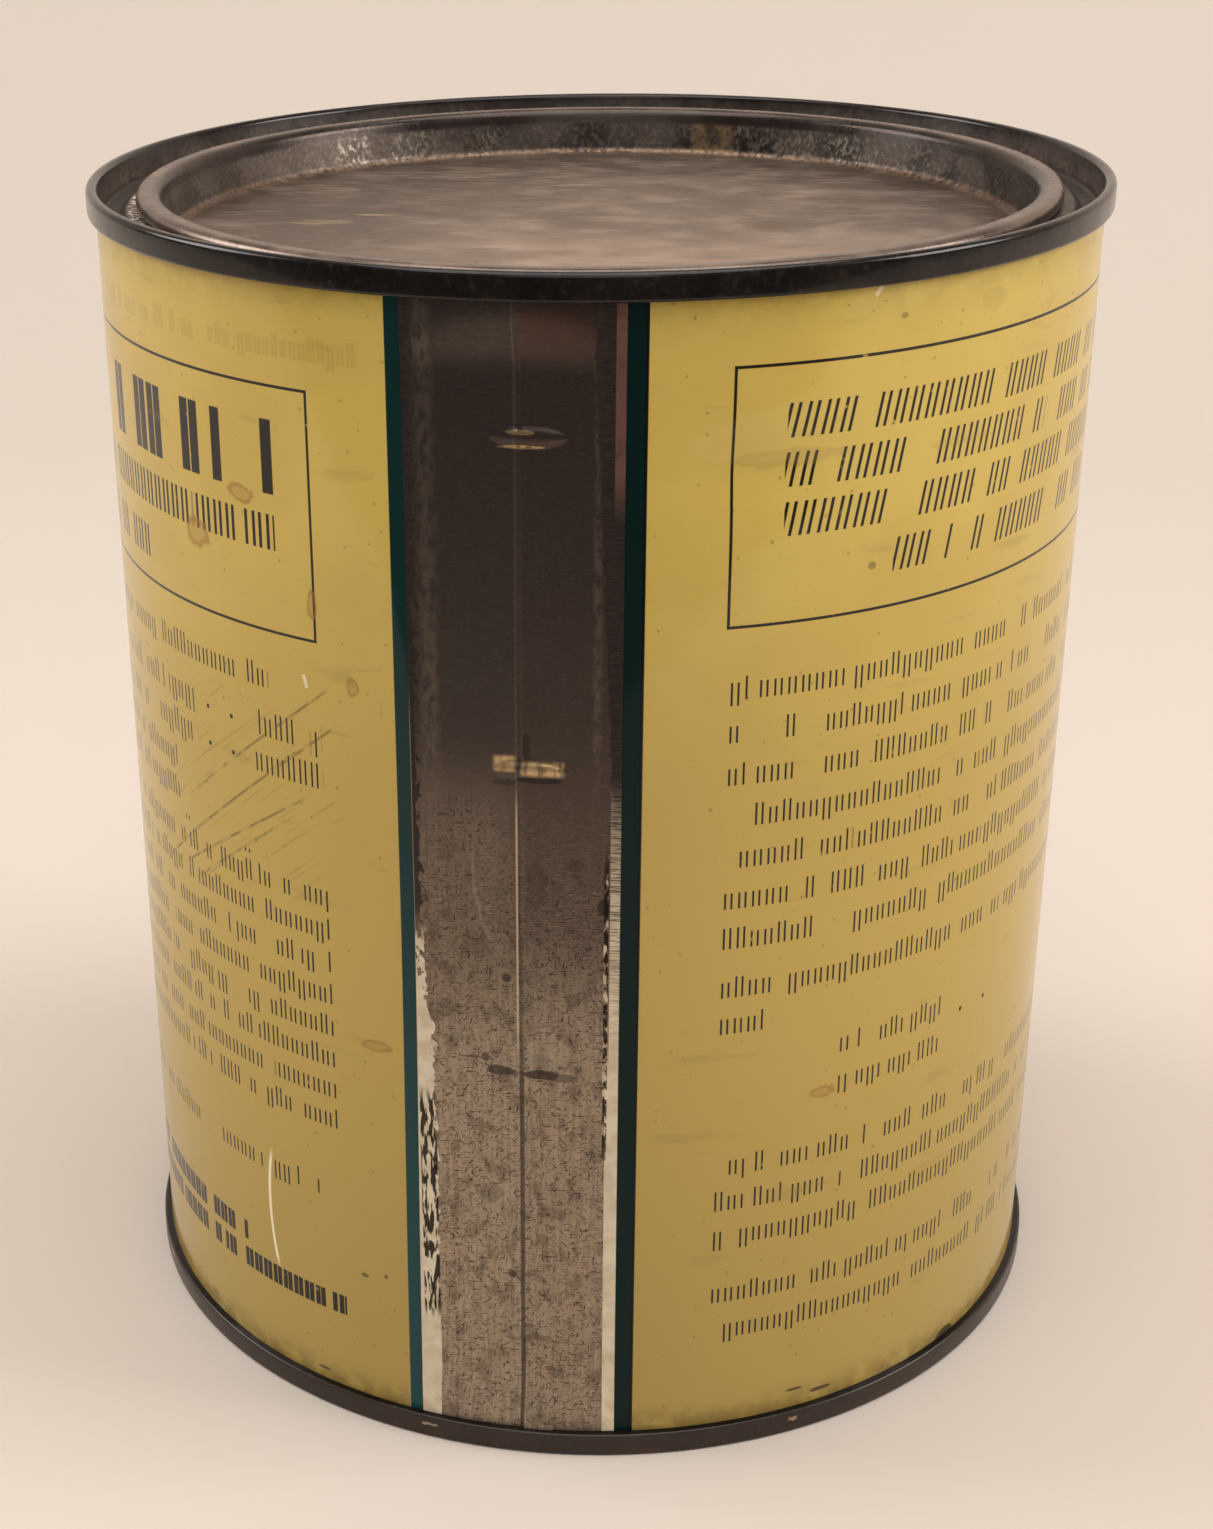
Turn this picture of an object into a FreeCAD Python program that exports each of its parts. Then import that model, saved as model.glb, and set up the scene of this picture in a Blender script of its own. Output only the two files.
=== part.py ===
"""A lever-lid milk powder tin: body with locked side seam, lever ring, plug lid and base end.

Frame: millimetres, +Z up, origin at the middle of the base, side seam towards -Y.
The tin is shut, so the body is solid between its two ends.
"""
import FreeCAD, Part
import os
import math
import Sketcher

doc = FreeCAD.newDocument("milk_powder_tin")
sheet = doc.addObject("Spreadsheet::Sheet", "dims")


class Size:
    """A length as its value and as the spreadsheet expression that gives it."""

    def __init__(self, value, text):
        self.value = value
        self.text = text

    def __add__(self, other):
        other = as_size(other)
        return Size(self.value + other.value, f"({self.text} + {other.text})")

    def __sub__(self, other):
        other = as_size(other)
        return Size(self.value - other.value, f"({self.text} - {other.text})")

    def __mul__(self, other):
        other = as_size(other)
        return Size(self.value * other.value, f"({self.text} * {other.text})")

    def __truediv__(self, other):
        other = as_size(other)
        return Size(self.value / other.value, f"({self.text} / {other.text})")

    def __neg__(self):
        return Size(-self.value, f"(-{self.text})")


def as_size(number):
    return number if isinstance(number, Size) else Size(number, str(number))


row = 0


def dimension(name, value, meaning):
    """Put one driving dimension in the next row of the sheet and return it."""
    global row
    row += 1
    sheet.set(f"A{row}", meaning)
    sheet.set(f"B{row}", str(value))
    sheet.setAlias(f"B{row}", name)
    return Size(value, f"dims.{name}")


# Driving dimensions of the whole tin.
tin_height = dimension("tin_height", 154.3, "height over both double seams")
seam_radius = dimension("seam_radius", 65.1, "outer radius of the double seams")
body_radius = dimension("body_radius", 64.0, "outer radius of the body wall")
seam_height = dimension("seam_height", 3.25, "height of a double seam")
seam_thickness = dimension("seam_thickness", 1.4, "thickness of a double seam")
plate = dimension("plate", 0.5, "thickness of the ends' plate")

# Roundings of the two ends.
seam_round = dimension("seam_round", 0.65, "rounding over the top of a double seam")
hook_round = dimension("hook_round", 0.45, "rounding of the seam's free edge")
stand_round = dimension("stand_round", 0.45, "rounding each side of the flat it stands on")
root_round = dimension("root_round", 0.6, "inner rounding at the foot of the chuck wall")
step_round = dimension("step_round", 0.5, "rounding of pressed steps")

# Sunk part of each end, inside its double seam.
chuck_taper = dimension("chuck_taper", 0.5, "how much the chuck wall leans in")
countersink = dimension("countersink", 3.9, "depth of the channel below the seam's top")

# Lever ring: channel, raised shoulder under the lid's curl, and the mouth.
channel_width = dimension("channel_width", 2.1, "flat floor of the lever channel")
channel_rise = dimension("channel_rise", 0.7, "rise from the channel to the shoulder")
channel_slope = dimension("channel_slope", 0.9, "radial run of that rise")
mouth_radius = dimension("mouth_radius", 55.9, "radius of the mouth at the shoulder")
mouth_round = dimension("mouth_round", 0.6, "rounding over the mouth's edge")
plug_taper = dimension("plug_taper", 0.2, "lean of plug and mouth walls, run over depth")

# Plug lid: curled edge, plug wall and sunk panel.
curl_top = dimension("curl_top", 1.0, "top of the curl below the seam's top")
curl_radius = dimension("curl_radius", 58.9, "outer radius of the curled edge")
curl_round = dimension("curl_round", 1.05, "outer rounding of the curl")
curl_inner_round = dimension("curl_inner_round", 1.3, "inner rounding of the curl")
panel_depth = dimension("panel_depth", 7.1, "depth of the lid's panel below the seam's top")
plug_round = dimension("plug_round", 1.2, "rounding at the foot of the plug wall")

# Base end: panel and its expansion ring.
base_step_radius = dimension("base_step_radius", 61.8, "outer radius of the panel's edge step")
base_panel_height = dimension("base_panel_height", 3.1, "height of the panel over the floor")
base_ring_radius = dimension("base_ring_radius", 46.0, "outer radius of the expansion ring")
base_ring_width = dimension("base_ring_width", 3.6, "width of the expansion ring's foot")
base_ring_rise = dimension("base_ring_rise", 0.6, "rise of the expansion ring")
base_slope = dimension("base_slope", 0.8, "radial run of each pressed step")

# Side seam: the wall is flat beside it, with a lock groove and four stakes across it.
flat_depth = dimension("flat_depth", 1.4, "depth of the flat below the round wall")
flat_margin = dimension("flat_margin", 4.7, "height where the flat starts at either end")
flat_lead = dimension("flat_lead", 5.0, "height over which the flat reaches full depth")
flat_reach = dimension("flat_reach", 20.0, "half width of the tool that cuts the flat")
lock_depth = dimension("lock_depth", 0.4, "depth of the lock seam's groove")
lock_width = dimension("lock_width", 0.7, "width of the lock seam's groove")
stake_count = dimension("stake_count", 4, "number of stakes across the lock seam")
stake_first = dimension("stake_first", 17.2, "height of the lowest stake")
stake_pitch = dimension("stake_pitch", 39.6, "spacing of the stakes")
stake_length = dimension("stake_length", 8.6, "length of a stake")
stake_height = dimension("stake_height", 2.2, "width of a stake up the wall")
stake_rise = dimension("stake_rise", 0.35, "how far a stake stands out of the flat")
stake_offset = dimension("stake_offset", 1.5, "middle of a stake to the right of the seam")
lap_width = dimension("lap_width", 4.2, "width of the lap at the foot of the side seam")
lap_height = dimension("lap_height", 2.3, "height of that lap above the double seam")
lap_rise = dimension("lap_rise", 0.35, "how far the lap stands out of the round wall")
lap_round = dimension("lap_round", 0.6, "rounding of the lap's upper corners")
doc.recompute()


def corner(radius, height, rounding=None):
    """A corner of a section: its distance from the axis, its height and its rounding."""
    return as_size(radius), as_size(height), rounding


def origin_plane(body, role):
    return [f for f in body.Origin.OriginFeatures if f.Role == role][0]


def bind(sketch, index, size):
    """Let the sheet drive a constraint of a sketch."""
    sketch.setExpression(f"Constraints[{index}]", size.text)


def pin(sketch, geometry, vertex, x, y):
    """Hold a vertex at a place that the sheet gives."""
    for kind, size in (("DistanceX", x), ("DistanceY", y)):
        if abs(size.value) < 1e-9:
            axis = -2 if kind == "DistanceX" else -1
            sketch.addConstraint(Sketcher.Constraint("PointOnObject", geometry, vertex, axis))
        else:
            made = Sketcher.Constraint(kind, -1, 1, geometry, vertex, size.value)
            bind(sketch, sketch.addConstraint(made), size)


def rounded_corner(before, here, after, radius):
    """Where a rounding starts and ends, its centre and its sense, for a corner's two sides."""
    to_before = (before - here).normalize()
    to_after = (after - here).normalize()
    half = to_before.getAngle(to_after) / 2
    run = radius / math.tan(half)
    centre = here + (to_before + to_after).normalize() * (radius / math.sin(half))
    return here + to_before * run, here + to_after * run, centre


def section(body, name, role, corners):
    """Draw a closed outline of straight sides, with tangent arcs at its rounded corners."""
    sketch = body.newObject("Sketcher::SketchObject", name)
    sketch.AttachmentSupport = (origin_plane(body, role), [""])
    sketch.MapMode = "FlatFace"
    count = len(corners)
    points = [FreeCAD.Vector(x.value, y.value, 0) for x, y, _ in corners]
    starts = list(points)
    ends = list(points)
    centres = [None] * count
    for i, (_, _, rounding) in enumerate(corners):
        if rounding:
            made = rounded_corner(points[i - 1], points[i], points[(i + 1) % count], rounding.value)
            starts[i], ends[i], centres[i] = made
    lines = []
    for i in range(count):
        line = Part.LineSegment(ends[i], starts[(i + 1) % count])
        lines.append(sketch.addGeometry(line, False))
    for i, (x, y, rounding) in enumerate(corners):
        line_in = lines[i - 1]
        line_out = lines[i]
        if not rounding:
            sketch.addConstraint(Sketcher.Constraint("Coincident", line_in, 2, line_out, 1))
            pin(sketch, line_out, 1, x, y)
            continue
        mark = sketch.addGeometry(Part.Point(points[i]), True)
        pin(sketch, mark, 1, x, y)
        sketch.addConstraint(Sketcher.Constraint("PointOnObject", mark, 1, line_in))
        sketch.addConstraint(Sketcher.Constraint("PointOnObject", mark, 1, line_out))
        angle_a = math.atan2(starts[i].y - centres[i].y, starts[i].x - centres[i].x)
        angle_b = math.atan2(ends[i].y - centres[i].y, ends[i].x - centres[i].x)
        turns_left = (angle_b - angle_a) % (2 * math.pi) < math.pi
        first, last = (angle_a, angle_b) if turns_left else (angle_b, angle_a)
        circle = Part.Circle(centres[i], FreeCAD.Vector(0, 0, 1), rounding.value)
        arc = sketch.addGeometry(Part.ArcOfCircle(circle, first, last), False)
        at_in, at_out = (1, 2) if turns_left else (2, 1)
        sketch.addConstraint(Sketcher.Constraint("Tangent", line_in, 2, arc, at_in))
        sketch.addConstraint(Sketcher.Constraint("Tangent", line_out, 1, arc, at_out))
        made = Sketcher.Constraint("Radius", arc, rounding.value)
        bind(sketch, sketch.addConstraint(made), rounding)
    return sketch


def turned(name, corners):
    """A body turned about the tin's axis from its half section."""
    body = doc.addObject("PartDesign::Body", name)
    body.Label = name
    sketch = section(body, f"{name}_section", "XZ_Plane", corners)
    turn = body.newObject("PartDesign::Revolution", f"{name}_turned")
    turn.Profile = sketch
    turn.ReferenceAxis = (sketch, ["V_Axis"])
    turn.Angle = 360
    return body


# Places that several pieces share.
top = tin_height
seam_inner = seam_radius - seam_thickness
chuck_foot = seam_inner - chuck_taper
wall_root = root_round + plate
shoulder_depth = countersink - channel_rise
shoulder_radius = chuck_foot - channel_width - channel_slope
plug_depth = panel_depth + plate


def mouth_at(depth):
    """Radius of the mouth, which is the plug's outer face, at a depth below the top."""
    return mouth_radius - (depth - shoulder_depth) * plug_taper


# The mouth's rounded edge, where the lid sits over the ring.
lid_seat = corner(mouth_radius, top - shoulder_depth, mouth_round)

# The ring's inner side, from the body wall in to the foot of the mouth wall.
ring_under = [
    corner(seam_inner, top - seam_height),
    corner(seam_inner, top - countersink - plate, wall_root),
    corner(chuck_foot - channel_width, top - countersink - plate),
    corner(shoulder_radius, top - shoulder_depth - plate),
    corner(mouth_radius + plate, top - shoulder_depth - plate),
    corner(mouth_at(plug_depth) + plate, top - plug_depth),
]

# The base end's inner side, from the middle out to the body wall.
ring_in = base_ring_radius - base_ring_width
base_outline = [
    corner(0, base_panel_height),
    corner(ring_in, base_panel_height, step_round),
    corner(ring_in + base_slope, base_panel_height + base_ring_rise, step_round),
    corner(base_ring_radius - base_slope, base_panel_height + base_ring_rise, step_round),
    corner(base_ring_radius, base_panel_height, step_round),
    corner(base_step_radius - base_slope, base_panel_height, step_round),
    corner(base_step_radius, countersink, step_round),
]
base_inside = [corner(r, z + plate, rounding) for r, z, rounding in base_outline]
base_inside += [
    corner(seam_inner, countersink + plate, wall_root),
    corner(seam_inner, seam_height),
]


# Lever ring, seamed to the body: double seam, chuck wall, channel, shoulder and mouth wall.
ring_over = [
    lid_seat,
    corner(shoulder_radius, top - shoulder_depth, step_round),
    corner(chuck_foot - channel_width, top - countersink, step_round),
    corner(chuck_foot, top - countersink, root_round),
    corner(seam_inner, top, seam_round),
    corner(seam_radius, top, seam_round),
    corner(seam_radius, top - seam_height, hook_round),
    corner(body_radius, top - seam_height),
]
ring_foot = corner(mouth_at(plug_depth), top - plug_depth)
turned("lever_ring", ring_over + ring_under + [ring_foot])

# Plug lid, pressed into the ring: sunk panel, plug wall and the curl that rests on the shoulder.
lid_section = [
    corner(0, top - plug_depth),
    corner(mouth_at(plug_depth), top - plug_depth, plug_round),
    lid_seat,
    corner(curl_radius, top - shoulder_depth, curl_round),
    corner(curl_radius, top - curl_top, curl_round),
    corner(mouth_at(curl_top) - plate, top - curl_top, curl_inner_round),
    corner(mouth_at(panel_depth) - plate, top - panel_depth, plug_round),
    corner(0, top - panel_depth),
]
turned("lever_lid", lid_section)

# Base end, seamed to the body: double seam, chuck wall, panel and expansion ring.
base_over = [
    corner(body_radius, seam_height),
    corner(seam_radius, seam_height, hook_round),
    corner(seam_radius, 0, stand_round),
    corner(seam_inner, 0, stand_round),
    corner(chuck_foot, countersink, root_round),
]
turned("base_end", base_inside + base_over + base_outline[::-1])

# Body, solid up to its ends, because the tin is shut.
body_wall = [corner(body_radius, seam_height), corner(body_radius, top - seam_height)]
under_lid = corner(0, top - plug_depth)
can_body = turned("can_body", base_inside + body_wall + ring_under + [under_lid])
doc.recompute()


def cut_through(body, name, role, corners, width):
    """Cut a prism of the given outline out of a body, evenly to both sides of its plane."""
    before = body.Shape.Volume
    sketch = section(body, f"{name}_section", role, corners)
    pocket = body.newObject("PartDesign::Pocket", name)
    pocket.Profile = sketch
    pocket.Type = "Length"
    pocket.Midplane = True
    pocket.setExpression("Length", width.text)
    doc.recompute()
    if not body.Shape.Volume < before - 1:
        raise RuntimeError(f"{name} cuts nothing")
    return pocket


# The wall is flat along the side seam, and leads out to the round under each double seam.
flat_face = body_radius - flat_depth
clear = body_radius + 1
full = flat_margin + flat_lead
flat_outline = [
    corner(-clear, flat_margin),
    corner(-body_radius, flat_margin),
    corner(-flat_face, full),
    corner(-flat_face, top - full),
    corner(-body_radius, top - flat_margin),
    corner(-clear, top - flat_margin),
]
cut_through(can_body, "seam_flat", "YZ_Plane", flat_outline, flat_reach * 2)

# The folded edge of the lock seam shows as a step: steep on the left, sloping on the right.
lock_outline = [
    corner(0, -clear),
    corner(0, -(flat_face - lock_depth)),
    corner(lock_width, -flat_face),
    corner(lock_width, -clear),
]
lock = section(can_body, "lock_seam_section", "XY_Plane", lock_outline)
lock.AttachmentOffset = FreeCAD.Placement(FreeCAD.Vector(0, 0, full.value), FreeCAD.Rotation())
lock.setExpression("AttachmentOffset.Base.z", full.text)
volume_before = can_body.Shape.Volume
groove = can_body.newObject("PartDesign::Pocket", "lock_seam")
groove.Profile = lock
groove.Type = "Length"
groove.Reversed = True
groove.setExpression("Length", (top - full * 2).text)
doc.recompute()
if not can_body.Shape.Volume < volume_before - 1:
    raise RuntimeError("the lock seam cuts nothing")

# At its foot the seam isn't folded: the sheet's ends lap, and the outer one stands out.
lap_top = seam_height + lap_height
lap_outline = [
    corner(0, seam_height),
    corner(0, lap_top, lap_round),
    corner(lap_width, lap_top, lap_round),
    corner(lap_width, seam_height),
]
volume_before = can_body.Shape.Volume
lap = can_body.newObject("PartDesign::Pad", "lap")
lap.Profile = section(can_body, "lap_section", "XZ_Plane", lap_outline)
lap.Type = "Length"
lap.setExpression("Length", (body_radius + lap_rise).text)
doc.recompute()
if not can_body.Shape.Volume > volume_before + 1:
    raise RuntimeError("the lap adds nothing")

# Four stakes are pressed across the seam to lock it.
stake = can_body.newObject("PartDesign::AdditiveEllipsoid", "stake")
stake.AttachmentSupport = (origin_plane(can_body, "XY_Plane"), [""])
stake.MapMode = "FlatFace"
stake.setExpression("AttachmentOffset.Base.x", stake_offset.text)
stake.setExpression("AttachmentOffset.Base.y", (-flat_face).text)
stake.setExpression("AttachmentOffset.Base.z", stake_first.text)
stake.setExpression("Radius1", (stake_height / 2).text)
stake.setExpression("Radius2", (stake_length / 2).text)
stake.setExpression("Radius3", stake_rise.text)
doc.recompute()
stakes = can_body.newObject("PartDesign::LinearPattern", "stakes")
stakes.Originals = [stake]
stakes.Direction = (lock, ["N_Axis"])
stakes.setExpression("Length", (stake_pitch * (stake_count - 1)).text)
stakes.setExpression("Occurrences", stake_count.text)
can_body.Tip = stakes
doc.recompute()

# Every object must have been made, and every piece must be one sound solid.
for item in doc.Objects:
    if "Invalid" in item.State or "Error" in item.State:
        raise RuntimeError(f"{item.Name}: {item.State}")

os.makedirs("parts", exist_ok=True)
for item in doc.Objects:
    if item.TypeId != "PartDesign::Body":
        continue
    item.Placement = FreeCAD.Placement()
    shape = item.Shape
    if shape.isNull() or not shape.isValid() or len(shape.Solids) != 1:
        raise RuntimeError(f"{item.Label} is not one valid solid")
    shape.exportStep(f"parts/{item.Label}.step")
    box = shape.optimalBoundingBox()
    print(item.Label, round(shape.Volume), "mm3,", f"z {box.ZMin:.2f} to {box.ZMax:.2f}")
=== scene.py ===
import math

import bpy
import numpy as np
from mathutils import Euler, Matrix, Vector


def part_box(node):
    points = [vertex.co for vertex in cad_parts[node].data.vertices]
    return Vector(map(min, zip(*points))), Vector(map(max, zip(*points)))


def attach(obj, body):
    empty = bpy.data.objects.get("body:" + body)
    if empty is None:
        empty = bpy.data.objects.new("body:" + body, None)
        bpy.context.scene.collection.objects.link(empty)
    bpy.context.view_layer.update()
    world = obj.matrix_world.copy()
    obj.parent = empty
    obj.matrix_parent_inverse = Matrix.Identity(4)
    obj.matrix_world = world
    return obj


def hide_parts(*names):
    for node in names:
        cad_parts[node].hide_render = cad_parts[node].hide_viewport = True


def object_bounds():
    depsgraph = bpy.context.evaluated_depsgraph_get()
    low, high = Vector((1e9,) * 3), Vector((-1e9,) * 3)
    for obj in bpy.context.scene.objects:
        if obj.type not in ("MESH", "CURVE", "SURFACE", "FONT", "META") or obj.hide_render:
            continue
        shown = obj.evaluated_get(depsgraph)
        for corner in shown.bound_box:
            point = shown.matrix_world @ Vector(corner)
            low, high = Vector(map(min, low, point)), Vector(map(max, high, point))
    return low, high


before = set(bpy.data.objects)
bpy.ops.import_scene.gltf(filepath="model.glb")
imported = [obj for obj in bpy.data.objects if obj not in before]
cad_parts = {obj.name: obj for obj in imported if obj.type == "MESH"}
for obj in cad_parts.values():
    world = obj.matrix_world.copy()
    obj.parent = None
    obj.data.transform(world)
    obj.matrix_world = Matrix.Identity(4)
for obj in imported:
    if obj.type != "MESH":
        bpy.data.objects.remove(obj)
cad_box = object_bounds()

# Camera: close above the tin, a little to the right of its side seam, held almost level.
# It stands on a circle round the tin's axis, and azimuths run from -Y towards +X.
camera_reach = 0.33297
camera_height = 0.21008
camera_azimuth = math.radians(7.96)
aim_azimuth = math.radians(11.13)
aim_down = math.radians(25.68)
camera_roll = math.radians(-0.97)

bpy.ops.object.camera_add()
camera = bpy.context.object
camera.name = "camera"
camera.location = (
    camera_reach * math.sin(camera_azimuth),
    -camera_reach * math.cos(camera_azimuth),
    camera_height,
)
turn = Euler((math.pi / 2 - aim_down, 0, aim_azimuth)).to_matrix()
camera.rotation_euler = (turn @ Euler((0, 0, camera_roll)).to_matrix()).to_euler()
camera.data.lens = 59.41
camera.data.sensor_width = 36
camera.data.shift_x = 0.0925
camera.data.shift_y = 0.0886
camera.data.clip_start = 0.01
bpy.context.scene.camera = camera
bpy.context.scene.view_settings.view_transform = "Standard"


# Stage: a pale sheet of card that lies flat under the tin and curves up behind it.
# Four soft boxes light it, from overhead, from in front and from both sides, in a pale room.
class Wire:
    """A socket in a material's tree; sums of wires add the nodes that work them out."""

    def __init__(self, tree, socket=None):
        self.tree = tree
        self.socket = socket

    def node(self, kind, settings, inputs, output=0):
        """Add a node: its settings first, then the value or the wire of each input."""
        made = self.tree.nodes.new(kind)
        for name, value in settings.items():
            if name == "stops":
                self.set_stops(made.color_ramp, value)
            else:
                setattr(made, name, value)
        for name, value in inputs.items():
            if isinstance(value, Wire):
                self.tree.links.new(value.socket, made.inputs[name])
            else:
                made.inputs[name].default_value = value
        return Wire(self.tree, made.outputs[output])

    def set_stops(self, ramp, stops):
        """Give a ramp a flat step from each stop to the next."""
        ramp.interpolation = "CONSTANT"
        for i, (position, value) in enumerate(stops):
            element = ramp.elements[i] if i < 2 else ramp.elements.new(position)
            element.position = position
            element.color = value

    def out(self, name):
        """Another output of the node that this wire leaves."""
        return Wire(self.tree, self.socket.node.outputs[name])

    def maths(self, operation, first, second=0.0):
        return self.node("ShaderNodeMath", {"operation": operation}, {0: first, 1: second})

    def __add__(self, other):
        return self.maths("ADD", self, other)

    def __radd__(self, other):
        return self.maths("ADD", other, self)

    def __sub__(self, other):
        return self.maths("SUBTRACT", self, other)

    def __rsub__(self, other):
        return self.maths("SUBTRACT", other, self)

    def __mul__(self, other):
        return self.maths("MULTIPLY", self, other)

    def __rmul__(self, other):
        return self.maths("MULTIPLY", other, self)

    def __truediv__(self, other):
        return self.maths("DIVIDE", self, other)

    def __neg__(self):
        return self.maths("MULTIPLY", self, -1.0)

    def __abs__(self):
        return self.maths("ABSOLUTE", self)

    def either(self, other):
        return self.maths("MAXIMUM", self, other)

    def rise(self, low, high, bottom=0.0, top=1.0):
        """Go smoothly from bottom to top while this wire goes from low to high."""
        settings = {"interpolation_type": "SMOOTHSTEP"}
        ends = {1: low, 2: high, 3: bottom, 4: top}
        return self.node("ShaderNodeMapRange", settings, {0: self, **ends})

    def between(self, low, high, soft=0.06):
        """One inside a range and nothing outside it, with soft edges."""
        return self.rise(low - soft, low + soft) * self.rise(high - soft, high + soft, 1.0, 0.0)

    def mix(self, first, second):
        """The first colour where this wire is nothing, the second where it is one."""
        ends = {0: self, 6: first, 7: second}
        return self.node("ShaderNodeMix", {"data_type": "RGBA"}, ends, 2)


def colour(red, green, blue):
    """A colour written as a screen shows it, from 0 to 255, for a shader's socket."""
    parts = [c / 255 for c in (red, green, blue)]
    return [c / 12.92 if c < 0.04045 else ((c + 0.055) / 1.055) ** 2.4 for c in parts] + [1]


def new_material(name, **sockets):
    """A material, its shader and a wire to build on, with the shader's plain sockets set."""
    material = bpy.data.materials.new(name)
    material.use_nodes = True
    shader = material.node_tree.nodes["Principled BSDF"]
    for socket, value in sockets.items():
        shader.inputs[socket.replace("_", " ")].default_value = value
    return material, shader, Wire(material.node_tree)


def plug(wire, shader, socket):
    """Lead a wire into a shader's socket."""
    wire.tree.links.new(wire.socket, shader.inputs[socket])


def leave_edit_mode():
    """Go back to object mode, with nothing selected."""
    if bpy.context.object and bpy.context.object.mode != "OBJECT":
        bpy.ops.object.mode_set(mode="OBJECT")
    bpy.ops.object.select_all(action="DESELECT")


def pick_edges(piece, wanted):
    """Select the edges of a piece whose two ends are both wanted, and go on editing."""
    bpy.ops.mesh.select_all(action="DESELECT")
    bpy.ops.object.mode_set(mode="OBJECT")
    for edge in piece.data.edges:
        edge.select = all(wanted(piece.data.vertices[i].co) for i in edge.vertices)
    bpy.ops.object.mode_set(mode="EDIT")


card_front = -0.34
card_back = 0.9
card_width = 3.2
card_height = 1.4
card_curve = 0.5
card_curve_steps = 24
edge_slack = 0.01

leave_edit_mode()
bpy.ops.mesh.primitive_plane_add(size=1)
card = bpy.context.object
card.name = "card"
bpy.ops.object.mode_set(mode="EDIT")
bpy.ops.transform.resize(value=(card_width, card_back - card_front, 1))
bpy.ops.transform.translate(value=(0, (card_back + card_front) / 2, 0))
bpy.ops.mesh.select_mode(type="EDGE")
pick_edges(card, lambda co: co.y > card_back - edge_slack)
bpy.ops.mesh.extrude_region_move(TRANSFORM_OT_translate={"value": (0, 0, card_height)})
pick_edges(card, lambda co: co.y > card_back - edge_slack and co.z < edge_slack)
bpy.ops.mesh.bevel(offset=card_curve, segments=card_curve_steps, affect="EDGES")
bpy.ops.object.mode_set(mode="OBJECT")
bpy.ops.object.shade_smooth()
material, shader, wire = new_material("pale card", Roughness=0.9, Specular_IOR_Level=0.1)
shader.inputs["Base Color"].default_value = colour(198, 184, 171)
card.data.materials.append(material)

world = bpy.data.worlds.new("room")
world.use_nodes = True
bpy.context.scene.world = world
wire = Wire(world.node_tree)
seen = wire.node("ShaderNodeLightPath", {}, {}, "Is Camera Ray")
glossy = seen.out("Is Glossy Ray")

# What shines shows the pale card behind the tin and the dimmer studio in front of it.
towards = wire.node("ShaderNodeTexCoord", {}, {}, "Generated")
towards = wire.node("ShaderNodeSeparateXYZ", {}, {0: towards})
behind = (towards.out("Y") - towards.out("X") * 0.16).rise(0.5, 0.66)
studio = behind.mix(colour(100, 96, 92), colour(236, 222, 208))
room = glossy.mix(colour(170, 170, 170), studio)
room = seen.mix(room, colour(228, 213, 200))
plug(room, world.node_tree.nodes["Background"], "Color")


def soft_light(name, place, target, size, power):
    """A square soft box that shines from one place towards another."""
    bpy.ops.object.light_add(type="AREA", location=place)
    lamp = bpy.context.object
    lamp.name = name
    lamp.rotation_euler = (Vector(target) - Vector(place)).to_track_quat("-Z", "Y").to_euler()
    lamp.data.size = size
    lamp.data.energy = power


tin_middle = (0, 0, 0.08)
soft_light("overhead light", (0, -0.1, 1.0), tin_middle, 0.9, 8.1)
soft_light("front light", (0.1, -1.1, 0.9), tin_middle, 0.7, 2.2)
soft_light("right light", (1.14, 0.05, 0.75), tin_middle, 0.6, 10.5)
soft_light("left light", (-1.14, 0.05, 0.75), tin_middle, 0.6, 8.2)


# Printed body: a sheet of tinplate, printed flat, rolled up and locked by a folded side seam
# that is pressed flat and staked in four places. The seam's margin is bare of print.
MM = 0.001
body_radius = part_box("can_body")[1].x
seam_height = 3.25 * MM
tin_top = cad_box[1][2]
body_columns = 380
body_rows = 190
seam_closeness = 0.85
stake_count = 4
stake_first = 17.2 * MM
stake_pitch = 39.6 * MM
stake_closeness = 0.8

flat_depth = 1.4 * MM
flat_margin = 4.7 * MM
flat_lead = 5.0 * MM
flat_blend = 0.12 * MM
lock_depth = 0.2 * MM
lock_width = 0.7 * MM
stake_middle = 1.5 * MM
stake_half_length = 4.3 * MM
stake_half_height = 1.1 * MM
stake_rise = 0.35 * MM
seam_half_width = 8 * MM
lap_low = 0.6 * MM
lap_high = 4.2 * MM
lap_top = 4.4 * MM
lap_rise = 0.32 * MM
end_zone = 4 * MM
dent_depth = 0.5 * MM
hollow_depth = 0.12 * MM
ripple_depth = 0.02 * MM
sheet_relief = 0.12 * MM
weld = 0.02 * MM
fine_weld = 0.001 * MM
smooth_angle = math.radians(40)

seam_grip = 0.2 * MM
wall_bottom = seam_height - seam_grip
wall_top = tin_top - seam_height + seam_grip


def eased(value, start, end):
    """Zero before the start, one after the end, and a smooth rise between."""
    part = np.clip((value - start) / (end - start), 0, 1)
    return part * part * (3 - 2 * part)


def hump(value, middle, width):
    """One at the middle, falling smoothly to nothing on both sides."""
    return np.exp(-(((value - middle) / width) ** 2))


leave_edit_mode()
bpy.ops.mesh.primitive_grid_add(x_subdivisions=body_columns, y_subdivisions=body_rows, size=1)
body = bpy.context.object
body.name = "printed_body"
places = np.zeros(len(body.data.vertices) * 3)
body.data.vertices.foreach_get("co", places)
places = places.reshape(-1, 3)

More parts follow.
